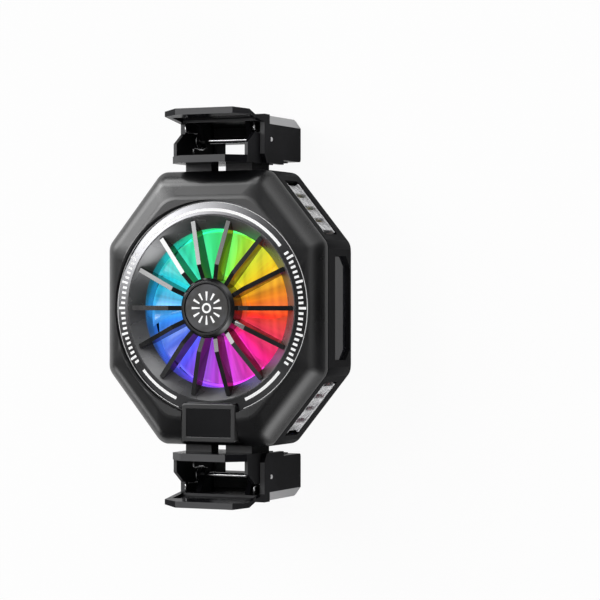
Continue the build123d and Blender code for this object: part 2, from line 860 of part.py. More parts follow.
# Vent louvres: a row of slanted bars between two rails, one strip in each diagonal wall
louvre_names = {
    (1, 1): "vent_louvre_upper_right",
    (1, -1): "vent_louvre_lower_right",
    (-1, 1): "vent_louvre_upper_left",
    (-1, -1): "vent_louvre_lower_left",
}
louvre_half_length = slot_length / 2 - slot_end_round - fit_gap
louvre_half_height = slot_height / 2 - fit_gap
louvre_pitch = 2 * louvre_half_length / louvre_count
louvre_face = louvre_pitch * louvre_face_share
rail_depth = wall - louvre_set_back

for (side, end), louvre_name in louvre_names.items():
    with BuildPart() as louvre:
        # In the strip's own plane X runs along the wall, from the clip's end, and Y runs into the housing
        turn = -side * end
        louvre_plane = Plane(
            origin=(side * diagonal_x, end * diagonal_y, slot_middle_z),
            x_dir=(side * diagonal_run, -end * diagonal_rise, 0),
            z_dir=(0, 0, turn),
        )
        with BuildSketch(louvre_plane):
            for bar in range(louvre_count):
                bar_start = bar * louvre_pitch - louvre_half_length
                with BuildLine():
                    Polyline(
                        (bar_start, louvre_set_back + louvre_slant),
                        (bar_start + louvre_face, louvre_set_back),
                        (bar_start + louvre_face, louvre_set_back + louvre_back_depth),
                        close=True,
                    )
                make_face()
        extrude(amount=louvre_half_height, both=True)
        for rail_start in (-louvre_half_height, louvre_half_height - louvre_rail):
            with BuildSketch(louvre_plane.offset(rail_start)):
                with Locations((0, louvre_set_back + rail_depth / 2)):
                    Rectangle(2 * louvre_half_length, rail_depth)
            extrude(amount=louvre_rail)
    finish(louvre.part, louvre_name)


# Side window: a smoked panel set back in the right wall
with BuildPart() as side_window:
    with BuildSketch(Plane.YZ.offset(half_width - window_recess)):
        with BuildLine():
            Polyline(
                (-window_length / 2 + window_cut_corner, window_z + fit_gap),
                (window_length / 2 - window_cut_corner, window_z + fit_gap),
                (window_length / 2 - fit_gap, window_z + window_cut_corner),
                (window_length / 2 - fit_gap, window_z + window_height - fit_gap),
                (-window_length / 2 + fit_gap, window_z + window_height - fit_gap),
                (-window_length / 2 + fit_gap, window_z + window_cut_corner),
                close=True,
            )
        make_face()
    extrude(amount=-(wall - window_recess))
finish(side_window.part, "side_window")


# Clip base: a neck of two plates with side walls, the finger rest and an ear at each side for the hinge pin
pin_hole_plane = Plane.YZ.offset(-jaw_half_width - overrun)
ear_inner = rest_half_width - ear_thick

with BuildPart() as upper_clip_base:
    with BuildSketch(Plane.XZ.offset(-clip_y)):
        with Locations((0, (neck_front_z + rest_back_z) / 2)):
            Rectangle(2 * neck_half_width, neck_front_z - rest_back_z)
        with Locations((0, (neck_front_z + rest_back_z) / 2 - neck_plate_depth)):
            Rectangle(
                2 * (neck_half_width - neck_side_wall),
                neck_front_z - rest_back_z,
                mode=Mode.SUBTRACT,
            )
        with Locations((0, neck_front_z)):
            Rectangle(neck_gap, 2 * neck_plate_depth, mode=Mode.SUBTRACT)
    extrude(amount=-neck_rise)
    with BuildSketch(Plane.XZ.offset(-rest_y)):
        with BuildLine():
            Polyline(
                (-rest_half_width, rest_back_z),
                (rest_half_width, rest_back_z),
                (rest_half_width, pivot_z + rest_front_reach - rest_cut_depth),
                (rest_front_half_width, pivot_z + rest_front_reach),
                (-rest_front_half_width, pivot_z + rest_front_reach),
                (-rest_half_width, pivot_z + rest_front_reach - rest_cut_depth),
                close=True,
            )
        make_face()
    extrude(amount=-rest_thick)
    for ear_start in (ear_inner, -rest_half_width):
        with BuildSketch(Plane.YZ.offset(ear_start)):
            with BuildLine():
                Polyline(
                    (rest_y + rest_thick / 2, pivot_z + ear_front_reach),
                    (pivot_y + ear_top_rise - ear_shoulder_drop, pivot_z + ear_front_reach),
                    (pivot_y + ear_top_rise, pivot_z + ear_shoulder_reach),
                    (pivot_y + ear_top_rise, pivot_z - ear_back_reach + ear_back_drop),
                    (pivot_y + ear_top_rise - ear_back_drop, pivot_z - ear_back_reach),
                    (rest_y + rest_thick / 2, pivot_z - ear_back_reach),
                    close=True,
                )
            make_face()
        extrude(amount=ear_thick)
    with BuildSketch(pin_hole_plane):
        with Locations((pivot_y, pivot_z)):
            Circle(pin_radius + press_gap)
    extrude(amount=2 * (jaw_half_width + overrun), mode=Mode.SUBTRACT)
    with BuildSketch(Plane.XZ.offset(-half_height + overrun)):
        with Locations((-clip_screw_spacing / 2, clip_screw_z), (clip_screw_spacing / 2, clip_screw_z)):
            Circle(screw_radius)
    extrude(amount=-(overrun + clip_screw_grip), mode=Mode.SUBTRACT)


# Jaw: lever plate, side cheeks and claw in one moulding
lever_tip_z = pivot_z + lever_front_reach
lever_tip_y = pivot_y + lever_front_rise
cheek_inner = rest_half_width + cheek_gap
claw_face_y = pivot_y - claw_drop
block_under_y = pivot_y + block_under_rise

with BuildPart() as upper_jaw:
    with BuildSketch(Plane.YZ.offset(-jaw_half_width)):
        with BuildLine():
            Polyline(
                (lever_tip_y, lever_tip_z),
                (pivot_y + lever_heel_rise, pivot_z + lever_heel_reach),
                (pivot_y + block_top_rise, pivot_z + block_front_reach),
                (pivot_y + block_top_rise, 0),
                (claw_face_y, 0),
                (claw_face_y, pivot_z - claw_step_set_back),
                (pivot_y - cheek_drop, pivot_z - claw_step_set_back),
                (pivot_y - cheek_drop, pivot_z + cheek_front_reach),
                (pivot_y - block_front_drop, pivot_z + block_front_reach),
                (block_under_y, pivot_z + block_front_reach),
                (lever_tip_y - lever_edge_thick, lever_tip_z),
                close=True,
            )
        make_face()
    extrude(amount=2 * jaw_half_width)
    fillet(upper_jaw.edges().filter_by(Axis.X).group_by(Axis.Z)[0], radius=claw_round)
    # The space between the cheeks, for the base's ears
    with BuildSketch(Plane.YZ.offset(-cheek_inner)):
        with BuildLine():
            Polyline(
                (pivot_y - cheek_drop - overrun, claw_wall),
                (block_under_y, claw_wall),
                (block_under_y, pivot_z + block_front_reach),
                (block_under_y, pivot_z + block_front_reach + overrun),
                (pivot_y - cheek_drop - overrun, pivot_z + block_front_reach + overrun),
                close=True,
            )
        make_face()
    extrude(amount=2 * cheek_inner, mode=Mode.SUBTRACT)
    # A window through the claw's wall, above the pad
    with BuildSketch(Plane.XY.offset(-overrun)):
        with Locations((0, claw_face_y + claw_window_rise + claw_window_height / 2)):
            Rectangle(2 * claw_window_half_width, claw_window_height)
    extrude(amount=claw_wall + 2 * overrun, mode=Mode.SUBTRACT)
    # Front corners of the lever cut off in plan
    for side in (1, -1):
        with BuildSketch(Plane.XZ.offset(-pivot_y)):
            with BuildLine():
                Polyline(
                    (side * lever_front_half_width, lever_tip_z),
                    (side * jaw_half_width, lever_tip_z - lever_cut_depth),
                    (side * (jaw_half_width + overrun), lever_tip_z - lever_cut_depth),
                    (side * (jaw_half_width + overrun), lever_tip_z + overrun),
                    (side * lever_front_half_width, lever_tip_z + overrun),
                    close=True,
                )
            make_face()
        extrude(amount=-(lever_front_rise + overrun), mode=Mode.SUBTRACT)
        # Facets along the top of the claw
        facet_y = pivot_y + block_top_rise
        with BuildSketch(Plane.XY.offset(-overrun)):
            with BuildLine():
                Polyline(
                    (side * (jaw_half_width - facet_width), facet_y),
                    (side * jaw_half_width, facet_y - facet_height),
                    (side * (jaw_half_width + overrun), facet_y - facet_height),
                    (side * (jaw_half_width + overrun), facet_y + overrun),
                    (side * (jaw_half_width - facet_width), facet_y + overrun),
                    close=True,
                )
            make_face()
        extrude(amount=overrun + pivot_z + facet_front_set_back, mode=Mode.SUBTRACT)
    # Ears under the lever
    for ear_start in (lever_ear_inner, -lever_ear_outer):
        with BuildSketch(Plane.YZ.offset(ear_start)):
            with BuildLine():
                Polyline(
                    (block_under_y + fit_gap, pivot_z - lever_ear_radius),
                    (block_under_y + fit_gap, pivot_z + block_front_reach),
                    (pivot_y, pivot_z + lever_ear_radius),
                    (pivot_y, pivot_z - lever_ear_radius),
                    close=True,
                )
            make_face()
            with Locations((pivot_y, pivot_z)):
                Circle(lever_ear_radius)
        extrude(amount=lever_ear_outer - lever_ear_inner)
    # The dish under the lever
    under_slope = (lever_tip_y - lever_edge_thick - block_under_y) / (lever_front_reach - block_front_reach)
    dish_start = pivot_z + block_front_reach + lever_dish_rim
    dish_end = lever_tip_z - lever_cut_depth - lever_dish_rim
    dish_start_y = block_under_y + under_slope * lever_dish_rim
    dish_end_y = block_under_y + under_slope * (dish_end - pivot_z - block_front_reach)
    with BuildSketch(Plane.YZ.offset(-jaw_half_width + lever_dish_rim)):
        with BuildLine():
            Polyline(
                (dish_start_y - overrun, dish_start),
                (dish_start_y + lever_dish_depth, dish_start),
                (dish_end_y + lever_dish_depth, dish_end),
                (dish_end_y - overrun, dish_end),
                close=True,
            )
        make_face()
    extrude(amount=2 * (jaw_half_width - lever_dish_rim), mode=Mode.SUBTRACT)
    # The pin's hole and the pad's recess
    with BuildSketch(pin_hole_plane):
        with Locations((pivot_y, pivot_z)):
            Circle(pin_radius + pin_running_gap)
    extrude(amount=2 * (jaw_half_width + overrun), mode=Mode.SUBTRACT)
    with BuildSketch(Plane.XY.offset(pad_edge)):
        with Locations((0, claw_face_y)):
            Rectangle(2 * (pad_half_width + fit_gap), 2 * (pad_thick - pad_proud))
    extrude(amount=claw_reach - pad_edge, mode=Mode.SUBTRACT)

with BuildPart() as upper_pad:
    with BuildSketch(Plane.XY.offset(pad_edge + fit_gap)):
        with Locations((0, claw_face_y - pad_proud + pad_thick / 2)):
            Rectangle(2 * pad_half_width, pad_thick)
    extrude(amount=claw_reach - pad_edge - 2 * fit_gap)

with BuildPart() as upper_pin:
    with BuildSketch(Plane.YZ.offset(-jaw_half_width)):
        with Locations((pivot_y, pivot_z)):
            Circle(pin_radius)
    extrude(amount=2 * jaw_half_width)
    chamfer(upper_pin.faces().sort_by(Axis.X)[0].edges(), length=pin_radius / 4)
    chamfer(upper_pin.faces().sort_by(Axis.X)[-1].edges(), length=pin_radius / 4)


# Torsion spring: a leg on the finger rest, one and a half turns round the pin, a leg under the lever
def spring_point(half_turns, start_x, direction):
    """A point of the coil and its direction there, after so many half turns from the bottom."""
    angle = half_turns * pi
    rate = coil_pitch / (2 * pi * coil_radius)
    point = Vector(
        start_x + direction * coil_pitch * half_turns / 2,
        pivot_y - coil_radius * cos(angle),
        pivot_z - coil_radius * sin(angle),
    )
    heading = Vector(direction * rate, sin(angle), -cos(angle)).normalized()
    return point, heading


def biarc(start, start_heading, end, end_heading):
    """Two tangent arcs between two points with a given direction at each."""
    gap = end - start
    total = start_heading + end_heading
    bend = 2 * (1 - start_heading.dot(end_heading))
    along = gap.dot(total)
    reach = (sqrt(along**2 + bend * gap.dot(gap)) - along) / bend
    middle = (start + end + (start_heading - end_heading) * reach) * 0.5
    middle_heading = ((end - end_heading * reach) - (start + start_heading * reach)).normalized()
    TangentArc(start, middle, tangent=start_heading)
    TangentArc(middle, end, tangent=middle_heading)


def torsion_spring(start_x, direction):
    """The spring beside one lever ear, wound along the pin in the given direction."""
    foot_y = rest_top_y + spring_touch_gap
    slope = (lever_tip_y - lever_edge_thick - block_under_y) / (lever_front_reach - block_front_reach)
    head_y = block_under_y + slope * (spring_leg_reach - block_front_reach) - spring_touch_gap - wire / 2
    first_point, first_heading = spring_point(0, start_x, direction)
    last_point, last_heading = spring_point(coil_half_turns, start_x, direction)
    leg_length = spring_leg_reach - spring_bend
    low_start = first_point - first_heading * leg_length
    high_end = last_point + last_heading * leg_length
    with BuildPart(mode=Mode.PRIVATE) as spring:
        with BuildLine() as path:
            low_corner = low_start + Vector(0, -spring_bend, spring_bend)
            Line(Vector(low_corner.X, foot_y, low_corner.Z), low_corner)
            TangentArc(low_corner, low_start, tangent=(0, 1, 0))
            Line(low_start, first_point)
            for half_turn in range(coil_half_turns):
                start, start_heading = spring_point(half_turn, start_x, direction)
                end, end_heading = spring_point(half_turn + 1, start_x, direction)
                biarc(start, start_heading, end, end_heading)
            Line(last_point, high_end)
            high_corner = high_end + Vector(0, spring_bend, spring_bend)
            TangentArc(high_end, high_corner, tangent=(0, 0, 1))
            Line(high_corner, Vector(high_corner.X, head_y, high_corner.Z))
        with BuildSketch(Plane(origin=path.line @ 0, z_dir=path.line % 0)):
            Circle(wire / 2)
        sweep(path=path.line)
    return spring.part, path.line


coil_length = coil_pitch * coil_half_turns / 2
spring_space = ear_inner - lever_ear_outer
spring_start = lever_ear_outer + (spring_space - coil_length) / 2
right_spring, right_path = torsion_spring(spring_start, 1)
left_spring, _ = torsion_spring(-spring_start, -1)

# The least gap between turns, on points along the coil
coil_steps = 48
coil_points = [
    spring_point(step / coil_steps, spring_start, 1)[0]
    for step in range(coil_steps * coil_half_turns + 1)
]
turn_steps = 2 * coil_steps
least_gap = min(
    (coil_points[late] - coil_points[early]).length - wire
    for early in range(len(coil_points))
    for late in range(early + turn_steps * 3 // 4, len(coil_points))
)
print("least gap between the spring's turns:", round(least_gap, 3), "mm")
wire_length = sum(edge.length for edge in right_path.edges())
wire_volume = pi * wire**2 / 4 * wire_length
print("spring's volume over its section times its length:", round(right_spring.volume / wire_volume, 4))


# Clip screws: two for each clip, heads inside the shell
upper_screws = screw_shape(
    Plane(origin=(0, half_height - wall, 0), x_dir=(1, 0, 0), z_dir=(0, 1, 0)),
    Locations((-clip_screw_spacing / 2, -clip_screw_z), (clip_screw_spacing / 2, -clip_screw_z)),
    screw_head_height,
    wall + clip_screw_grip - fit_gap,
)
with BuildPart() as clip_screws:
    add(upper_screws)
    add(mirror(upper_screws, about=Plane.XZ))
finish(clip_screws.part, "clip_screws")

# Each clip piece is written twice: above as built, below as its mirror image
clip_pieces = {
    "clip_base": upper_clip_base.part,
    "jaw": upper_jaw.part,
    "jaw_pad": upper_pad.part,
    "hinge_pin": upper_pin.part,
    "spring_right": right_spring,
    "spring_left": left_spring,
}
for piece_name, piece in clip_pieces.items():
    finish(piece, f"upper_{piece_name}")
    finish(mirror(piece, about=Plane.XZ), f"lower_{piece_name}")
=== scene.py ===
# %% [markdown]
# Phone cooling fan, dressed for a studio picture.
# The CAD model gives every piece its place and its motion. This lesson adds what CAD leaves out:
# finishes, soft moulded edges, fan blades with a painted glow, printed marks and springs.

# %% Load the frame
import json
from math import cos, pi, radians, sin

import bmesh
import bpy
from mathutils import Matrix, Vector


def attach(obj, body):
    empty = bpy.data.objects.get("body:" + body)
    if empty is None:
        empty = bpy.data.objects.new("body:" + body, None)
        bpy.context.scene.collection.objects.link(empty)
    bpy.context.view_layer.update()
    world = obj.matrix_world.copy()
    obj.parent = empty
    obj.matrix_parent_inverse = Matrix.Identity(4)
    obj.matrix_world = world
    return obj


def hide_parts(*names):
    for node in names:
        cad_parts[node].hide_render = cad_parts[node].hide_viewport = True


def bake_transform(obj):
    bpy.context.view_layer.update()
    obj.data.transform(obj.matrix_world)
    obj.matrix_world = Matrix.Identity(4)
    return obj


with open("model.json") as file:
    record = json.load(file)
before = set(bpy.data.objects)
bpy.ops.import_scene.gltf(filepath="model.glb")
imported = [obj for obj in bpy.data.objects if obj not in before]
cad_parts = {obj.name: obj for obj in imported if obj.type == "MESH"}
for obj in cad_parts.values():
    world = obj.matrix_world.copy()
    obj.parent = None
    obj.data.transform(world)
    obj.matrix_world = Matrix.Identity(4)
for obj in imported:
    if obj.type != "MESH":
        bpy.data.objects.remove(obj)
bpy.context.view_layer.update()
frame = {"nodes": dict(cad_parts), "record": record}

MM = 0.001

# %% [markdown]
# The sizes below repeat the CAD model's own, in millimetres, because this file can't read that one. The
# cooler lies on its back: X runs towards the light window, Y towards the upper clip and Z out of the
# front.

# %% Sizes shared with the CAD model
ring_top = 27.0
ring_outer = 25.4
ring_inner = 21.85
ring_thick = 1.0
display_middle_y = -27.0
display_half_width = 7.15
display_half_height = 4.65
hub_disc_top = 28.78
blade_floor = 17.15
blade_top = 23.4
blade_tip = 18.0
cup_radius = 7.9
cup_wall = 0.9
cup_roof = 1.2
cup_floor = 13.95
cup_top = 23.4
pivot_y = 40.0
pivot_z = 16.5
wire = 0.45
coil_radius = 1.95
coil_pitch = 0.87
coil_half_turns = 3
coil_start = 7.3725
leg_length = 4.9
leg_bend = 0.5
leg_low_y = 35.85
leg_high_y = 43.95

# %% [markdown]
# The photograph was taken with a long lens, turned 24.6 degrees from the front towards the right wall.
# A camera is easiest to place by its distance and turn round the middle of the marking ring. The small
# steps sideways and upwards put the object where it stands in the picture, without any lens shift.

# %% Camera
view_turn = radians(24.6)
camera_distance = 545 * MM
camera_side_step = 21.15 * MM
camera_up_step = 1.9 * MM
lens_mm = 139.2
sensor_mm = 36
nearest = 10 * MM

across = Vector((cos(view_turn), 0, -sin(view_turn)))
upward = Vector((0, 1, 0))
backward = Vector((sin(view_turn), 0, cos(view_turn)))
ring_centre = Vector((0, 0, ring_top * MM))

camera_data = bpy.data.cameras.new("camera")
camera_data.lens = lens_mm
camera_data.sensor_width = sensor_mm
camera_data.clip_start = nearest
camera = bpy.data.objects.new("camera", camera_data)
bpy.context.scene.collection.objects.link(camera)
place = ring_centre + backward * camera_distance + across * camera_side_step + upward * camera_up_step
turned = Matrix((across, upward, backward)).transposed()
camera.matrix_world = Matrix.Translation(place) @ turned.to_4x4()
bpy.context.scene.camera = camera
print("camera at", [round(value, 3) for value in place], "m")

# %% [markdown]
# Every finish here is procedural. A real moulded or plated surface is never one flat colour: its tone
# drifts a little over the part, its gloss is uneven where hands and tools touched it, and it has a fine
# grain. One helper makes all three from noise of different sizes, and each finish sets its own amounts.


# %% A helper for surfaces
noise_detail = 3
noise_range = (0.3, 0.7)
tone_stops = (0.35, 0.65)
sideways_range = (0.93, 0.99)
frontways_range = (0.9, 0.99)
facet_range = (0.3, 0.42)
painted_facet_highlight = 0.8
facet_shine = 0.5
painted_front_highlight = 0.15
painted_highlight_tone = (0.6, 0.6, 0.61, 1)


def new_material(name):
    material = bpy.data.materials.new(name)
    material.use_nodes = True
    tree = material.node_tree
    return material, tree.nodes, tree.links, tree.nodes["Principled BSDF"]


def maths(nodes, links, operation, first, second=0.0):
    """One step of arithmetic between node outputs or numbers."""
    step = nodes.new("ShaderNodeMath")
    step.operation = operation
    for socket, value in zip(step.inputs, (first, second)):
        if isinstance(value, (int, float)):
            socket.default_value = value
        else:
            links.new(value, socket)
    return step.outputs["Value"]


def eased(nodes, links, value, low, high, most):
    """Nothing below the low value, most above the high one, and a smooth change between them."""
    change = nodes.new("ShaderNodeMapRange")
    change.interpolation_type = "SMOOTHSTEP"
    for socket, number in (("From Min", low), ("From Max", high), ("To Max", most)):
        change.inputs[socket].default_value = number
    links.new(value, change.inputs["Value"])
    return change.outputs["Result"]


def surface(name, tones, shine, patch, grain, depth, stretch=(1, 1, 1), side_shine=None, **sockets):
    """A finish from two tones, a range of roughness, and patch, grain and depth in millimetres.

    With a side shine, faces that look left or right have that roughness, as where a mould is left unpolished.
    Facets at the corners of such a part get a painted highlight, a lighter and more metallic tone, and its
    faces to the front get a little of it.
    """
    material, nodes, links, shader = new_material(name)
    place_on_part = nodes.new("ShaderNodeTexCoord")
    stretched = nodes.new("ShaderNodeMapping")
    stretched.inputs["Scale"].default_value = stretch
    links.new(place_on_part.outputs["Object"], stretched.inputs["Vector"])

    noises = []
    for size in (patch, grain):
        noise = nodes.new("ShaderNodeTexNoise")
        noise.inputs["Scale"].default_value = 1 / (size * MM)
        noise.inputs["Detail"].default_value = noise_detail
        links.new(stretched.outputs["Vector"], noise.inputs["Vector"])
        noises.append(noise.outputs["Fac"])

    tone = nodes.new("ShaderNodeValToRGB")
    for stop, place_on_ramp, colour in zip(tone.color_ramp.elements, tone_stops, tones):
        stop.position = place_on_ramp
        stop.color = (*colour, 1)
    links.new(noises[0], tone.inputs["Fac"])
    colour = tone.outputs["Color"]

    gloss = nodes.new("ShaderNodeMapRange")
    gloss.inputs["From Min"].default_value, gloss.inputs["From Max"].default_value = noise_range
    gloss.inputs["To Min"].default_value, gloss.inputs["To Max"].default_value = shine
    links.new(noises[0], gloss.inputs["Value"])
    roughness = gloss.outputs["Result"]
    if side_shine is not None:
        faced = nodes.new("ShaderNodeNewGeometry")
        apart = nodes.new("ShaderNodeSeparateXYZ")
        links.new(faced.outputs["Normal"], apart.inputs["Vector"])
        sideways = maths(nodes, links, "ABSOLUTE", apart.outputs["X"])
        side_roughness = eased(nodes, links, sideways, *sideways_range, side_shine)
        roughness = maths(nodes, links, "MAXIMUM", roughness, side_roughness)
        slanting = maths(nodes, links, "MULTIPLY", apart.outputs["X"], apart.outputs["Y"])
        corner = maths(nodes, links, "ABSOLUTE", slanting)
        facet_roughness = eased(nodes, links, corner, *facet_range, facet_shine)
        roughness = maths(nodes, links, "MAXIMUM", roughness, facet_roughness)
        # Painted highlight: corner facets, and a little the faces to the front, get a lighter, more metallic
        # tone so that they read as lit.
        painted_highlight = eased(nodes, links, corner, *facet_range, painted_facet_highlight)
        painted_front = eased(nodes, links, apart.outputs["Z"], *frontways_range, painted_front_highlight)
        painted_highlight = maths(nodes, links, "MAXIMUM", painted_highlight, painted_front)
        links.new(painted_highlight, shader.inputs["Metallic"])
        painted_highlight_mix = nodes.new("ShaderNodeMix")
        painted_highlight_mix.data_type = "RGBA"
        links.new(painted_highlight, painted_highlight_mix.inputs["Factor"])
        tone_in, painted_highlight_in = [socket for socket in painted_highlight_mix.inputs if socket.type == "RGBA"]
        links.new(colour, tone_in)
        painted_highlight_in.default_value = painted_highlight_tone
        colour = next(out for out in painted_highlight_mix.outputs if out.type == "RGBA")
    links.new(colour, shader.inputs["Base Color"])
    links.new(roughness, shader.inputs["Roughness"])

    bump = nodes.new("ShaderNodeBump")
    bump.inputs["Distance"].default_value = depth * MM
    links.new(noises[1], bump.inputs["Height"])
    links.new(bump.outputs["Normal"], shader.inputs["Normal"])
    for socket, value in sockets.items():
        shader.inputs[socket.replace("_", " ")].default_value = value
    return material


# %% [markdown]
# The housing and clips are black plastic, glossy in front and satin at the sides, with a painted
# highlight on the facets along the clips' corners. The vents are plated, the plate at the back is satin
# aluminium, and the hardware is steel. Hidden parts get their own finishes too, because other views and
# the exported model may show them.

# %% Finishes
finishes = {
    "housing_gloss": surface(
        "satin gloss cover", ((0.003, 0.003, 0.0035), (0.006, 0.006, 0.007)), (0.25, 0.33), 16, 0.3, 0.003,
        IOR=1.7,
    ),
    "clip_gloss": surface(
        "black clips with painted facet highlights", ((0.006, 0.006, 0.007), (0.01, 0.01, 0.012)), (0.16, 0.26), 9, 0.4, 0.002,
        side_shine=0.75, IOR=1.25,
    ),
    "housing_satin": surface(
        "satin black shell", ((0.006, 0.006, 0.007), (0.01, 0.01, 0.011)), (0.46, 0.58), 12, 0.16, 0.004,
        IOR=1.12,
    ),
    "funnel_satin": surface(
        "satin plated funnel", ((0.2, 0.2, 0.205), (0.29, 0.29, 0.295)), (0.24, 0.32), 8, 0.14, 0.004,
        Metallic=0.7,
    ),
    "vane_gloss": surface(
        "polished black vanes", ((0.005, 0.005, 0.006), (0.009, 0.009, 0.01)), (0.1, 0.18), 5, 0.4, 0.002,
        IOR=1.85,
    ),
    "hub_metal": surface(
        "spun dark hub cap", ((0.06, 0.058, 0.056), (0.085, 0.085, 0.09)), (0.28, 0.38), 3, 0.12, 0.004,
        Metallic=0.6,
    ),
    "dark_lens": surface(
        "dark display glass", ((0.003, 0.003, 0.004), (0.006, 0.006, 0.007)), (0.03, 0.07), 10, 2.0, 0.001
    ),
    "smoked_window": surface(
        "smoked window", ((0.008, 0.008, 0.01), (0.014, 0.014, 0.017)), (0.04, 0.1), 8, 2.0, 0.001
    ),
    "module_plastic": surface(
        "matt black moulding", ((0.01, 0.01, 0.01), (0.018, 0.018, 0.018)), (0.5, 0.65), 4, 0.12, 0.008
    ),
    "screw_steel": surface(
        "dark screw steel", ((0.2, 0.2, 0.21), (0.32, 0.32, 0.33)), (0.25, 0.4), 1.2, 0.15, 0.003,
        Metallic=1.0,
    ),
    "plate_aluminium": surface(
        "satin cold plate", ((0.7, 0.71, 0.73), (0.8, 0.81, 0.82)), (0.28, 0.36), 7, 0.1, 0.003,
        Metallic=0.9,
    ),
    "ceramic_white": surface(
        "white ceramic", ((0.74, 0.74, 0.71), (0.82, 0.82, 0.79)), (0.55, 0.7), 3, 0.1, 0.006
    ),
    "foam": surface(
        "black foam", ((0.012, 0.012, 0.012), (0.03, 0.03, 0.03)), (0.85, 0.95), 0.8, 0.4, 0.12
    ),
    "fin_aluminium": surface(
        "extruded fins", ((0.6, 0.61, 0.63), (0.75, 0.76, 0.78)), (0.25, 0.4), 2, 0.2, 0.01,
        stretch=(1, 1, 0.1), Metallic=1.0,
    ),
    "board": surface(
        "green board", ((0.005, 0.05, 0.025), (0.012, 0.11, 0.05)), (0.3, 0.45), 1.1, 0.3, 0.02
    ),
    "led_lens": surface(
        "warm white lights", ((0.8, 0.78, 0.68), (0.86, 0.85, 0.78)), (0.3, 0.4), 0.7, 0.2, 0.004
    ),
    "socket_steel": surface(
        "drawn socket steel", ((0.45, 0.45, 0.46), (0.6, 0.6, 0.61)), (0.22, 0.34), 1.5, 0.1, 0.003,
        stretch=(0.2, 1, 1), Metallic=1.0,
    ),
    "sleeve_brass": surface(
        "sintered bronze", ((0.4, 0.27, 0.12), (0.52, 0.37, 0.18)), (0.4, 0.55), 0.5, 0.1, 0.01,
        Metallic=1.0,
    ),
    "stator_iron": surface(
        "lacquered stator", ((0.12, 0.06, 0.03), (0.3, 0.14, 0.06)), (0.35, 0.5), 0.6, 0.2, 0.02,
        stretch=(1, 1, 4), Metallic=0.5,
    ),
    "magnet": surface(
        "bonded magnet", ((0.05, 0.05, 0.052), (0.08, 0.08, 0.083)), (0.5, 0.62), 0.7, 0.12, 0.01
    ),
    "pin_steel": surface(
        "ground pin steel", ((0.62, 0.62, 0.63), (0.74, 0.74, 0.75)), (0.14, 0.24), 1.0, 0.12, 0.002,
        stretch=(0.15, 1, 1), Metallic=1.0,
    ),
    "spring_steel": surface(
        "bright spring wire", ((0.5, 0.5, 0.51), (0.66, 0.66, 0.67)), (0.16, 0.26), 0.8, 0.1, 0.002,
        Metallic=1.0,
    ),
    "louvre_chrome": surface(
        "plated louvres", ((0.7, 0.7, 0.72), (0.84, 0.84, 0.85)), (0.2, 0.32), 2, 0.2, 0.004,
        Metallic=0.4,
    ),
    "pad_rubber": surface(
        "ribbed rubber", ((0.012, 0.012, 0.012), (0.022, 0.022, 0.022)), (0.7, 0.85), 1.5, 0.5, 0.06,
        stretch=(0.05, 1, 1),
    ),
}
print(len(finishes), "finishes made with one helper")

# %% [markdown]
# The marking ring is metal under a dark, see-through coating. It was turned on a lathe, so its fine
# grooves run round the axis: noise over the distance from the axis gives such grooves. A metal finish
# with a dark tone stays black where it mirrors the dark room, and flares up where it mirrors a lamp.

# %% The turned coating of the marking ring
groove_mm = 0.09
groove_depth_mm = 0.002
groove_tones = ((0.11, 0.11, 0.115, 1), (0.17, 0.17, 0.175, 1))
groove_shine = (0.15, 0.23)

coating, nodes, links, shader = new_material("turned ring coating")
place_on_part = nodes.new("ShaderNodeTexCoord")
flat_place = nodes.new("ShaderNodeMapping")
flat_place.inputs["Scale"].default_value = (1, 1, 0)
links.new(place_on_part.outputs["Object"], flat_place.inputs["Vector"])
from_axis = nodes.new("ShaderNodeVectorMath")
from_axis.operation = "LENGTH"
links.new(flat_place.outputs["Vector"], from_axis.inputs[0])
grooves = nodes.new("ShaderNodeTexNoise")
grooves.noise_dimensions = "1D"
grooves.inputs["Scale"].default_value = 1 / (groove_mm * MM)
links.new(from_axis.outputs["Value"], grooves.inputs["W"])
coat_tone = nodes.new("ShaderNodeValToRGB")
for stop, colour in zip(coat_tone.color_ramp.elements, groove_tones):
    stop.color = colour
links.new(grooves.outputs["Fac"], coat_tone.inputs["Fac"])
links.new(coat_tone.outputs["Color"], shader.inputs["Base Color"])
groove_bump = nodes.new("ShaderNodeBump")
groove_bump.inputs["Distance"].default_value = groove_depth_mm * MM
links.new(grooves.outputs["Fac"], groove_bump.inputs["Height"])
links.new(groove_bump.outputs["Normal"], shader.inputs["Normal"])
groove_gloss = nodes.new("ShaderNodeMapRange")
groove_gloss.inputs["To Min"].default_value, groove_gloss.inputs["To Max"].default_value = groove_shine
links.new(grooves.outputs["Fac"], groove_gloss.inputs["Value"])
links.new(groove_gloss.outputs["Result"], shader.inputs["Roughness"])
shader.inputs["Metallic"].default_value = 1.0
finishes["ring_metal"] = coating

# %% [markdown]
# The light guide and the painted glow of the blades make a rainbow clock face: the colour depends only on the
# direction from the fan's axis.
# An arctangent of the position gives that direction, and a ramp of plain rainbow colours turns it into
# light. The light guide under the fan and the milky blades above it share these nodes. Position is
# measured in the room, so the colours stay where the lights are when the fan turns.

# %% The rainbow
rainbow = (
    (0.0, (0.05, 0.95, 0.22)),
    (0.1, (0.03, 0.85, 0.5)),
    (0.19, (0.02, 0.62, 0.85)),
    (0.29, (0.06, 0.3, 0.95)),
    (0.39, (0.14, 0.12, 0.95)),
    (0.46, (0.4, 0.07, 0.9)),
    (0.54, (0.8, 0.05, 0.72)),
    (0.63, (0.95, 0.02, 0.2)),
    (0.72, (0.95, 0.05, 0.02)),
    (0.79, (0.98, 0.3, 0.01)),
    (0.87, (0.97, 0.84, 0.02)),
    (0.94, (0.35, 0.93, 0.04)),
    (1.0, (0.05, 0.95, 0.22)),
)


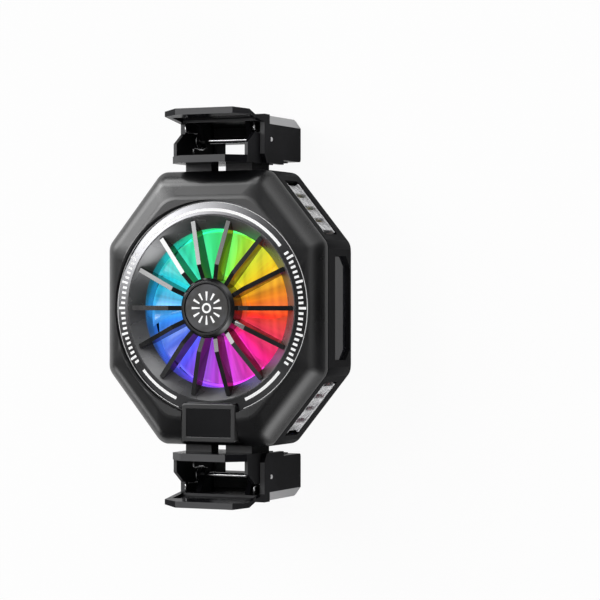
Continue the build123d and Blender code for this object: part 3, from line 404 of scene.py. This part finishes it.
def rainbow_nodes(nodes, links):
    """The rainbow's colour, and the clock angle it depends on, for a material's node tree."""
    where = nodes.new("ShaderNodeNewGeometry")
    apart = nodes.new("ShaderNodeSeparateXYZ")
    links.new(where.outputs["Position"], apart.inputs["Vector"])
    leftwards = maths(nodes, links, "MULTIPLY", apart.outputs["X"], -1)
    from_top = maths(nodes, links, "ARCTAN2", leftwards, apart.outputs["Y"])
    turns = maths(nodes, links, "ADD", maths(nodes, links, "DIVIDE", from_top, 2 * pi), 1)
    clock_share = maths(nodes, links, "FRACT", turns)
    colours = nodes.new("ShaderNodeValToRGB")
    colours.color_ramp.elements[0].color = (*rainbow[0][1], 1)
    colours.color_ramp.elements[1].color = (*rainbow[-1][1], 1)
    for share, colour in rainbow[1:-1]:
        colours.color_ramp.elements.new(share).color = (*colour, 1)
    links.new(clock_share, colours.inputs["Fac"])
    return colours.outputs["Color"], from_top


print("rainbow of", len(rainbow) - 1, "colours")

# %% [markdown]
# The light guide is a clear ring over twelve small lights, so it is a little brighter above each of
# them.

# %% The light guide
light_count = 12
guide_strength = 1.5
guide_swing = 0.25
guide_roughness = 0.35

glow, nodes, links, shader = new_material("rainbow light guide")
colour, from_top = rainbow_nodes(nodes, links)
spokes = maths(nodes, links, "COSINE", maths(nodes, links, "MULTIPLY", from_top, light_count))
spoke_light = maths(nodes, links, "MULTIPLY", spokes, guide_swing)
links.new(colour, shader.inputs["Emission Color"])
links.new(maths(nodes, links, "ADD", spoke_light, guide_strength), shader.inputs["Emission Strength"])
links.new(colour, shader.inputs["Base Color"])
shader.inputs["Roughness"].default_value = guide_roughness
finishes["light_guide"] = glow

# %% [markdown]
# The blades are milky plastic; the light that soaks through them is painted on as a glow of their own,
# though they are no lamp. Moulding leaves flow lines in such plastic, and noise over the clock angle
# paints each one a little brighter or dimmer, from root to tip. The light and shade of the straight
# cooling fins below are painted into the glow as upright streaks.

# %% The milky plastic of the blades and their painted glow
painted_blade_glow = 0.72
glow_range = (0.62, 1.3)
uneven_range = (0.7, 1.3)
streaks_around = 9
streak_detail = 4
fin_pitch_mm = 1.9
milk_share = 0.55
milk_tone = (0.12, 0.12, 0.12, 1)
blade_roughness = 0.22

# Painted glow: the blades' emission stands in for light passing through them, though they are no lamp.
milky, nodes, links, shader = new_material("milky blades with painted glow")
colour, from_top = rainbow_nodes(nodes, links)
streaks = nodes.new("ShaderNodeTexNoise")
streaks.noise_dimensions = "1D"
streaks.inputs["Scale"].default_value = streaks_around
streaks.inputs["Detail"].default_value = streak_detail
links.new(from_top, streaks.inputs["W"])
where = nodes.new("ShaderNodeNewGeometry")
apart = nodes.new("ShaderNodeSeparateXYZ")
links.new(where.outputs["Position"], apart.inputs["Vector"])
# Painted light and shade of the cooling fins: noise over X makes upright brighter and dimmer streaks in the
# glow.
painted_fin_streaks = nodes.new("ShaderNodeTexNoise")
painted_fin_streaks.noise_dimensions = "1D"
painted_fin_streaks.inputs["Scale"].default_value = 1 / (fin_pitch_mm * MM)
painted_fin_streaks.inputs["Detail"].default_value = 1
links.new(apart.outputs["X"], painted_fin_streaks.inputs["W"])
uneven = maths(nodes, links, "ADD", streaks.outputs["Fac"], painted_fin_streaks.outputs["Fac"])
strength = nodes.new("ShaderNodeMapRange")
strength.inputs["From Min"].default_value, strength.inputs["From Max"].default_value = uneven_range
strength.inputs["To Min"].default_value = painted_blade_glow * glow_range[0]
strength.inputs["To Max"].default_value = painted_blade_glow * glow_range[1]
links.new(uneven, strength.inputs["Value"])
links.new(strength.outputs["Result"], shader.inputs["Emission Strength"])
links.new(colour, shader.inputs["Emission Color"])
paler = nodes.new("ShaderNodeMix")
paler.data_type = "RGBA"
paler.inputs["Factor"].default_value = milk_share
colour_in, milk_in = [socket for socket in paler.inputs if socket.type == "RGBA"]
links.new(colour, colour_in)
milk_in.default_value = milk_tone
links.new(next(out for out in paler.outputs if out.type == "RGBA"), shader.inputs["Base Color"])
shader.inputs["Roughness"].default_value = blade_roughness
finishes["fan_translucent"] = milky

# Painted glow: the print's faint emission keeps it white, though it is no lamp.
print_white = surface(
    "white print", ((0.86, 0.86, 0.86), (0.91, 0.91, 0.91)), (0.35, 0.45), 1.5, 0.2, 0.002,
    Emission_Color=(1, 1, 1, 1), Emission_Strength=0.22,
)

# %% [markdown]
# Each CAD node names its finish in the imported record, so one loop dresses them all.

# %% Dress the CAD nodes
slot_of_node = {row["node"]: row["material_slot"] for row in frame["record"]["subparts"]}
for node, part in frame["nodes"].items():
    finish = finishes[slot_of_node[node]]
    if not part.material_slots:
        part.data.materials.append(finish)
    for held in part.material_slots:
        held.material = finish
print("dressed", len(frame["nodes"]), "CAD nodes")

# %% [markdown]
# Moulded edges are never knife sharp, and on glossy black it is the thin bright line along each edge
# that shows the shape. A weld joins the faces that the CAD export left apart, and a small bevel rounds
# every corner sharper than 35 degrees, without touching the CAD mesh itself.

# %% Soft edges on the CAD nodes
weld_mm = 0.002
round_segments = 3
sharp_angle = radians(35)
edge_rounds_mm = {
    "upper_jaw": 0.36, "lower_jaw": 0.36, "upper_clip_base": 0.3, "lower_clip_base": 0.3,
    "body_shell": 0.15, "front_cover": 0.12, "display_frame": 0.2, "grille": 0.1,
    "vent_louvre_upper_right": 0.12, "vent_louvre_lower_right": 0.12,
    "vent_louvre_upper_left": 0.12, "vent_louvre_lower_left": 0.12,
    "rear_ring": 0.15, "cold_plate": 0.1, "hub_disc": 0.06, "side_window": 0.1, "display_lens": 0.08,
}
for node, round_mm in edge_rounds_mm.items():
    part = frame["nodes"][node]
    weld = part.modifiers.new("weld", "WELD")
    weld.merge_threshold = weld_mm * MM
    bevel = part.modifiers.new("edges", "BEVEL")
    bevel.width = round_mm * MM
    bevel.segments = round_segments
    bevel.limit_method = "ANGLE"
    bevel.angle_limit = sharp_angle
    bevel.harden_normals = True
print("softened", len(edge_rounds_mm), "nodes")

# %% [markdown]
# New pieces are meshes built from lists of points. This helper makes the object and gives it a finish.


# %% A helper for new pieces
def make_piece(name, points_mm, faces, finish, smooth=True):
    mesh = bpy.data.meshes.new(name)
    mesh.from_pydata([Vector(point) * MM for point in points_mm], [], faces)
    mesh.validate()
    mesh.update()
    for face in mesh.polygons:
        face.use_smooth = smooth
    mesh.materials.append(finish)
    piece = bpy.data.objects.new(name, mesh)
    bpy.context.scene.collection.objects.link(piece)
    return piece


def spin(profile, turns_around):
    """Points and faces of a closed profile of radius and height, spun round the fan's axis."""
    points, faces = [], []
    for step in range(turns_around):
        angle = 2 * pi * step / turns_around
        for radius, height in profile:
            points.append(Vector((radius * cos(angle), radius * sin(angle), height)))
    size = len(profile)
    for step in range(turns_around):
        this_turn, next_turn = step * size, (step + 1) % turns_around * size
        for edge in range(size):
            following = (edge + 1) % size
            faces.append((this_turn + edge, next_turn + edge, next_turn + following, this_turn + following))
    return points, faces


# %% [markdown]
# The fan has nine curved blades round a cup. Each blade is a grid of points: it sweeps back towards its
# tip, twists flatter as it goes out, and bulges a little. Both faces and the rim are made at once, so
# the blade has a real thickness. The blades overlap, which leaves almost no gap between them.

# %% Fan blades
blade_count = 9
blade_root = 7.6
root_chord = 6.2
tip_chord = 14.6
chord_growth = 0.75
blade_sweep = radians(11)
sweep_growth = 1.6
blade_bulge = 0.55
blade_thick = 0.7
tip_thinning = 0.45
edge_share = 0.35
low_edge_gap = 1.6
high_edge_gap = 1.0
steps_out = 14
steps_along = 10


def blade_surface(out_share, along_share, side):
    """A point on one face of a blade, from root to tip and from its lower to its upper edge."""
    radius = blade_root + (blade_tip - blade_root) * out_share
    chord = root_chord + (tip_chord - root_chord) * out_share**chord_growth
    bulge = blade_bulge * sin(pi * along_share)
    angle = blade_sweep * out_share**sweep_growth + (along_share - 0.5) * chord / radius
    thin = blade_thick * (1 - tip_thinning * out_share)
    thin *= edge_share + (1 - edge_share) * sin(pi * along_share)
    low_edge, high_edge = blade_floor + low_edge_gap, blade_top - high_edge_gap
    height = low_edge + (high_edge - low_edge) * along_share + bulge + side * thin / 2
    return Vector((radius * cos(angle), radius * sin(angle), height))


blade_points, blade_faces = [], []
for blade in range(blade_count):
    turn = Matrix.Rotation(2 * pi * blade / blade_count, 4, "Z")
    first = len(blade_points)
    row = steps_along + 1
    sheet_size = (steps_out + 1) * row
    for side in (-1, 1):
        for out_step in range(steps_out + 1):
            for along_step in range(row):
                point = blade_surface(out_step / steps_out, along_step / steps_along, side)
                blade_points.append(turn @ point)
    for out_step in range(steps_out):
        for along_step in range(steps_along):
            corner = first + out_step * row + along_step
            low = (corner, corner + 1, corner + row + 1, corner + row)
            blade_faces.append(low[::-1])
            blade_faces.append(tuple(index + sheet_size for index in low))
    rim = [out_step * row for out_step in range(steps_out + 1)]
    rim += [steps_out * row + along_step for along_step in range(1, row)]
    rim += [out_step * row + steps_along for out_step in range(steps_out - 1, -1, -1)]
    rim += [along_step for along_step in range(steps_along - 1, 0, -1)]
    for start, end in zip(rim, rim[1:] + rim[:1]):
        blade_faces.append((first + start, first + end, first + end + sheet_size, first + start + sheet_size))

cup_edge, cup_pinhole, cup_sides = 0.15, 0.02, 72
cup_crown = ((0, 0.6), (0.1, 0.25), (0.35, 0.05), (0.7, 0))
cup_profile = [
    (cup_radius - cup_wall, cup_floor), (cup_radius - cup_edge, cup_floor),
    (cup_radius, cup_floor + cup_edge),
]
cup_profile += [(cup_radius - inwards, cup_top - down) for inwards, down in cup_crown]
cup_profile += [
    (cup_pinhole, cup_top), (cup_pinhole, cup_top - cup_roof), (cup_radius - cup_wall, cup_top - cup_roof),
]
cup_points, cup_faces = spin(cup_profile, cup_sides)
blade_faces += [tuple(corner + len(blade_points) for corner in face) for face in cup_faces]
blade_points += cup_points
fan = make_piece("fan_blades", blade_points, blade_faces, milky)
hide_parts("fan_rotor")
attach(fan, "fan")
print("fan of", blade_count, "blades,", len(fan.data.polygons), "faces")

# %% [markdown]
# The marking ring isn't flat: it falls away a little from its inner to its outer edge, which is why
# only its upper left part catches the light. A profile spun round the axis gives that cone with two
# fine raised rims. The display stands in a gap of the ring, so the spun mesh is cut along the gap's
# sides and opened there.

# %% Marking ring
rim_width = 0.3
rim_height = 0.12
rim_edge = 0.05
rim_slope = 0.06
ring_fall = 0.42
ring_sides = 180
crisp_angle = radians(25)


def ring_height(radius):
    """Height of the ring's face, between its rims, at a radius."""
    return ring_top - rim_height - ring_fall * (radius - ring_inner) / (ring_outer - ring_inner)


def open_for_display(piece):
    """Cuts a spun piece along the four sides of the display's gap, and takes out what lies between."""
    form = bmesh.new()
    form.from_mesh(piece.data)
    low = Vector((-display_half_width, display_middle_y - display_half_height, 0)) * MM
    high = Vector((display_half_width, display_middle_y + display_half_height, 0)) * MM
    for corner, normal in ((low, (1, 0, 0)), (low, (0, 1, 0)), (high, (1, 0, 0)), (high, (0, 1, 0))):
        everything = form.verts[:] + form.edges[:] + form.faces[:]
        bmesh.ops.bisect_plane(form, geom=everything, dist=1e-7, plane_co=corner, plane_no=normal)
    inside = [
        face for face in form.faces
        if all(low[axis] < face.calc_center_median()[axis] < high[axis] for axis in (0, 1))
    ]
    bmesh.ops.delete(form, geom=inside, context="FACES")
    form.to_mesh(piece.data)
    form.free()


inner_rim_top, outer_rim_top = ring_top, ring_height(ring_outer) + rim_height
ring_profile = (
    (ring_inner, ring_top - ring_thick), (ring_inner, inner_rim_top - rim_edge),
    (ring_inner + rim_edge, inner_rim_top), (ring_inner + rim_width - rim_slope, inner_rim_top),
    (ring_inner + rim_width, ring_height(ring_inner + rim_width)),
    (ring_outer - rim_width, ring_height(ring_outer - rim_width)),
    (ring_outer - rim_width + rim_slope, outer_rim_top), (ring_outer - rim_edge, outer_rim_top),
    (ring_outer, outer_rim_top - rim_edge), (ring_outer, ring_top - ring_thick),
)
ring_points, ring_faces = spin(ring_profile[::-1], ring_sides)
ring = make_piece("marking_band", ring_points, ring_faces, coating)
open_for_display(ring)
sharp = ring.modifiers.new("crisp rims", "EDGE_SPLIT")
sharp.split_angle = crisp_angle
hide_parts("marking_ring")
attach(ring, "housing")

# %% [markdown]
# The marks on the ring are thin white print: three arcs, a fine outer line, and a plain scale of
# strokes at each side. A printed mark is a band a few hundredths of a millimetre thick, so each one is
# a short strip of an annulus that lies on the ring's face and follows its fall. A faint glow of its own
# keeps the print white.

# %% Printed marks
print_thick = 0.03
print_sink = 0.02
arc_step = radians(1.5)


def printed_band(points, faces, inner, outer, start_degrees, end_degrees):
    """Adds a flat band between two radii and two clock angles, counted clockwise from the top."""
    start, end = radians(start_degrees), radians(end_degrees)
    steps = max(1, round((end - start) / arc_step))
    first = len(points)
    for step in range(steps + 1):
        angle = start + (end - start) * step / steps
        for radius in (inner, outer):
            for lift in (-print_sink, print_thick):
                height = ring_height(radius) + lift
                points.append(Vector((radius * sin(angle), radius * cos(angle), height)))
    for step in range(steps):
        a = first + 4 * step
        faces.extend([
            (a + 1, a + 3, a + 7, a + 5), (a, a + 4, a + 6, a + 2),
            (a, a + 1, a + 5, a + 4), (a + 2, a + 6, a + 7, a + 3),
        ])
    last = first + 4 * steps
    faces.extend([(first, first + 2, first + 3, first + 1), (last, last + 1, last + 3, last + 2)])


mark_points, mark_faces = [], []
arc_inner, arc_outer = 22.8, 23.5
arcs = ((-52, 51.5), (129.5, 157), (203, 230.5))
for start_degrees, end_degrees in arcs:
    printed_band(mark_points, mark_faces, arc_inner, arc_outer, start_degrees, end_degrees)
line_inner, line_outer, line_end = 24.86, 24.97, 160
printed_band(mark_points, mark_faces, line_inner, line_outer, -line_end, line_end)
scale_inner, long_stroke, short_stroke, stroke_degrees = 22.85, 1.75, 1.15, 1.4
strokes_each_way, stroke_pitch, long_every = 11, 3, 5
for middle in (90, 270):
    for count in range(-strokes_each_way, strokes_each_way + 1):
        centre = middle + count * stroke_pitch
        length = long_stroke if count % long_every == 0 else short_stroke
        printed_band(
            mark_points, mark_faces, scale_inner, scale_inner + length,
            centre - stroke_degrees / 2, centre + stroke_degrees / 2,
        )
marks = make_piece("ring_marks", mark_points, mark_faces, print_white, smooth=False)
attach(marks, "housing")
print("marks of", len(mark_faces), "faces")

# %% [markdown]
# The hub's cap carries a plain mark of twelve strokes, like the hours of a clock, round a small ring.
# They are printed bands too, on the flat cap.

# %% Mark on the hub's cap
stroke_inner, stroke_outer, hour_degrees = 2.15, 3.9, 8.5
quarter_inner = 1.75
small_ring_inner, small_ring_outer = 0.75, 1.2
hours = 12
hub_points, hub_faces = [], []
for hour in range(hours):
    inner = quarter_inner if hour % 3 == 0 else stroke_inner
    middle = hour * 360 / hours
    printed_band(
        hub_points, hub_faces, inner, stroke_outer, middle - hour_degrees / 2, middle + hour_degrees / 2
    )
printed_band(hub_points, hub_faces, small_ring_inner, small_ring_outer, 0, 360)
for point in hub_points:
    lift = print_thick if point.z > ring_height(Vector((point.x, point.y)).length) else -print_sink
    point.z = hub_disc_top + lift
hub_mark = make_piece("hub_mark", hub_points, hub_faces, print_white, smooth=False)
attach(hub_mark, "housing")

# %% [markdown]
# Each clip closes by a pair of torsion springs on its hinge pin. One leg presses on the finger rest and
# the other under the lever, with one and a half turns between them. A spring is a round tube that
# follows a list of points.

# %% Torsion springs
tube_sides = 12
bend_steps = 6
turn_steps = 20


def spring_path(side):
    """Points of the right or left spring, from its foot on the rest to its head under the lever."""
    rise = coil_pitch / (2 * pi * coil_radius) * side
    low_x = side * coil_start + rise * -leg_length
    points = [Vector((low_x, leg_low_y, pivot_z + leg_length + leg_bend))]
    for step in range(bend_steps + 1):
        angle = pi / 2 * step / bend_steps
        points.append(Vector((
            low_x,
            pivot_y - coil_radius - leg_bend + leg_bend * sin(angle),
            pivot_z + leg_length + leg_bend * cos(angle),
        )))
    for step in range(turn_steps * coil_half_turns + 1):
        angle = pi * step / turn_steps
        points.append(Vector((
            side * (coil_start + coil_pitch * step / turn_steps / 2),
            pivot_y - coil_radius * cos(angle),
            pivot_z - coil_radius * sin(angle),
        )))
    high_x = points[-1].x + rise * leg_length
    for step in range(bend_steps + 1):
        angle = pi / 2 * step / bend_steps
        points.append(Vector((
            high_x,
            pivot_y + coil_radius + leg_bend - leg_bend * cos(angle),
            pivot_z + leg_length + leg_bend * sin(angle),
        )))
    points.append(Vector((high_x, leg_high_y, pivot_z + leg_length + leg_bend)))
    return points


def tube(path, radius):
    """Rings of points round a path, each turned as little as possible from the one before."""
    points, faces = [], []
    beside = Vector((1, 0, 0))
    for index, point in enumerate(path):
        before, after = path[max(index - 1, 0)], path[min(index + 1, len(path) - 1)]
        heading = (after - before).normalized()
        beside = (beside - heading * beside.dot(heading)).normalized()
        other = heading.cross(beside)
        for corner in range(tube_sides):
            angle = 2 * pi * corner / tube_sides
            points.append(point + (beside * cos(angle) + other * sin(angle)) * radius)
    for index in range(len(path) - 1):
        for corner in range(tube_sides):
            a, b = index * tube_sides + corner, index * tube_sides + (corner + 1) % tube_sides
            faces.append((a, b, b + tube_sides, a + tube_sides))
    faces.append(tuple(range(tube_sides))[::-1])
    faces.append(tuple(len(points) - tube_sides + corner for corner in range(tube_sides)))
    return points, faces


for end_name, end in (("upper", 1), ("lower", -1)):
    for side_name, side in (("right", 1), ("left", -1)):
        path = [Vector((point.x, end * point.y, point.z)) for point in spring_path(side)]
        spring_points, spring_faces = tube(path, wire / 2)
        name = f"{end_name}_spring_{side_name}"
        spring = make_piece(
            f"{name}_wire", spring_points, spring_faces, finishes["spring_steel"]
        )
        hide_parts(name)
        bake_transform(spring)
print("four torsion springs wound")

# %% [markdown]
# The studio is a pale floor that is also the backdrop, because the camera looks down on the cooler. For
# the camera it is nearly plain white, and for reflections partly so, while the rest of it takes the
# soft shadow.

# %% Floor
floor_half = 2.5
floor_drop = 0.1 * MM
floor_tone = (0.86, 0.86, 0.86, 1)
floor_roughness = 0.9
mirror_white = 0.3
camera_white = 0.94

floor_mesh = bpy.data.meshes.new("floor")
floor_corners = [
    (-floor_half, -floor_half), (floor_half, -floor_half),
    (floor_half, floor_half), (-floor_half, floor_half),
]
floor_mesh.from_pydata([(x, y, -floor_drop) for x, y in floor_corners], [], [(0, 1, 2, 3)])
floor = bpy.data.objects.new("floor", floor_mesh)
bpy.context.scene.collection.objects.link(floor)
floor_finish, nodes, links, shader = new_material("pale floor")
shader.inputs["Base Color"].default_value = floor_tone
shader.inputs["Roughness"].default_value = floor_roughness
paths = nodes.new("ShaderNodeLightPath")
glossy_ray, clear_ray = paths.outputs["Is Glossy Ray"], paths.outputs["Is Transmission Ray"]
mirrored = maths(nodes, links, "MAXIMUM", glossy_ray, clear_ray)
in_mirrors = maths(nodes, links, "MULTIPLY", mirrored, mirror_white)
for_camera = maths(nodes, links, "MULTIPLY", paths.outputs["Is Camera Ray"], camera_white)
share = maths(nodes, links, "MAXIMUM", in_mirrors, for_camera)
white = nodes.new("ShaderNodeEmission")
white.inputs["Strength"].default_value = 1.0
blend_white = nodes.new("ShaderNodeMixShader")
links.new(share, blend_white.inputs["Fac"])
links.new(shader.outputs["BSDF"], blend_white.inputs[1])
links.new(white.outputs["Emission"], blend_white.inputs[2])
links.new(blend_white.outputs["Shader"], nodes["Material Output"].inputs["Surface"])
floor_mesh.materials.append(floor_finish)

# %% [markdown]
# Glossy black shows almost nothing but what it reflects. A lamp with a hard edge would show as a hard
# shape in every curve of the cover, so the softboxes are painted into the room itself: each is a
# direction that fades out gently all round. A low power fades slowly, like a big diffuser, and a high
# one makes a small bright spot.

# %% Room and softboxes
room_level = 0.05
softboxes = {
    "above": ((-0.51, 0.65, 0.57), 8.4, 140),
    "far above": ((-0.47, 0.82, 0.32), 7.5, 140),
    "upper left": ((-0.76, 0.49, 0.43), 9.0, 60),
    "far left above": ((-0.91, 0.40, 0.14), 3.4, 25),
    "far left below": ((-0.89, -0.39, 0.22), 4.7, 140),
    "upper right": ((0.30, 0.62, 0.73), 1.7, 25),
    "lower right": ((0.38, -0.67, 0.63), 2.8, 25),
    "right": ((0.46, 0.06, 0.88), 0.7, 30),
    "far right above": ((0.45, 0.84, 0.3), 1.0, 16),
    "far right below": ((0.43, -0.84, 0.3), 1.4, 16),
    "lower front": ((-0.28, -0.20, 0.94), 0.5, 300),
    "lower left": ((-0.57, -0.21, 0.79), 0.5, 300),
    "front": ((-0.42, 0.0, 0.91), 0.2, 60),
    "vane spot": ((-0.62, 0.2, 0.76), 12.0, 130),
    "upper vane spot": ((-0.47, 0.25, 0.85), 3.6, 130),
}
world = bpy.data.worlds.new("room")
world.use_nodes = True
bpy.context.scene.world = world
nodes, links = world.node_tree.nodes, world.node_tree.links
looking = nodes.new("ShaderNodeTexCoord").outputs["Generated"]
brightness = room_level
for towards, strength, power in softboxes.values():
    facing = nodes.new("ShaderNodeVectorMath")
    facing.operation = "DOT_PRODUCT"
    facing.inputs[1].default_value = Vector(towards).normalized()
    links.new(looking, facing.inputs[0])
    fade = maths(nodes, links, "POWER", maths(nodes, links, "MAXIMUM", facing.outputs["Value"], 0.0), power)
    brightness = maths(nodes, links, "ADD", maths(nodes, links, "MULTIPLY", fade, strength), brightness)
links.new(brightness, nodes["Background"].inputs["Strength"])
nodes["Background"].inputs["Color"].default_value = (1, 1, 1, 1)
print(len(softboxes), "softboxes in a room of level", room_level)
bpy.context.scene.view_settings.view_transform = "Standard"
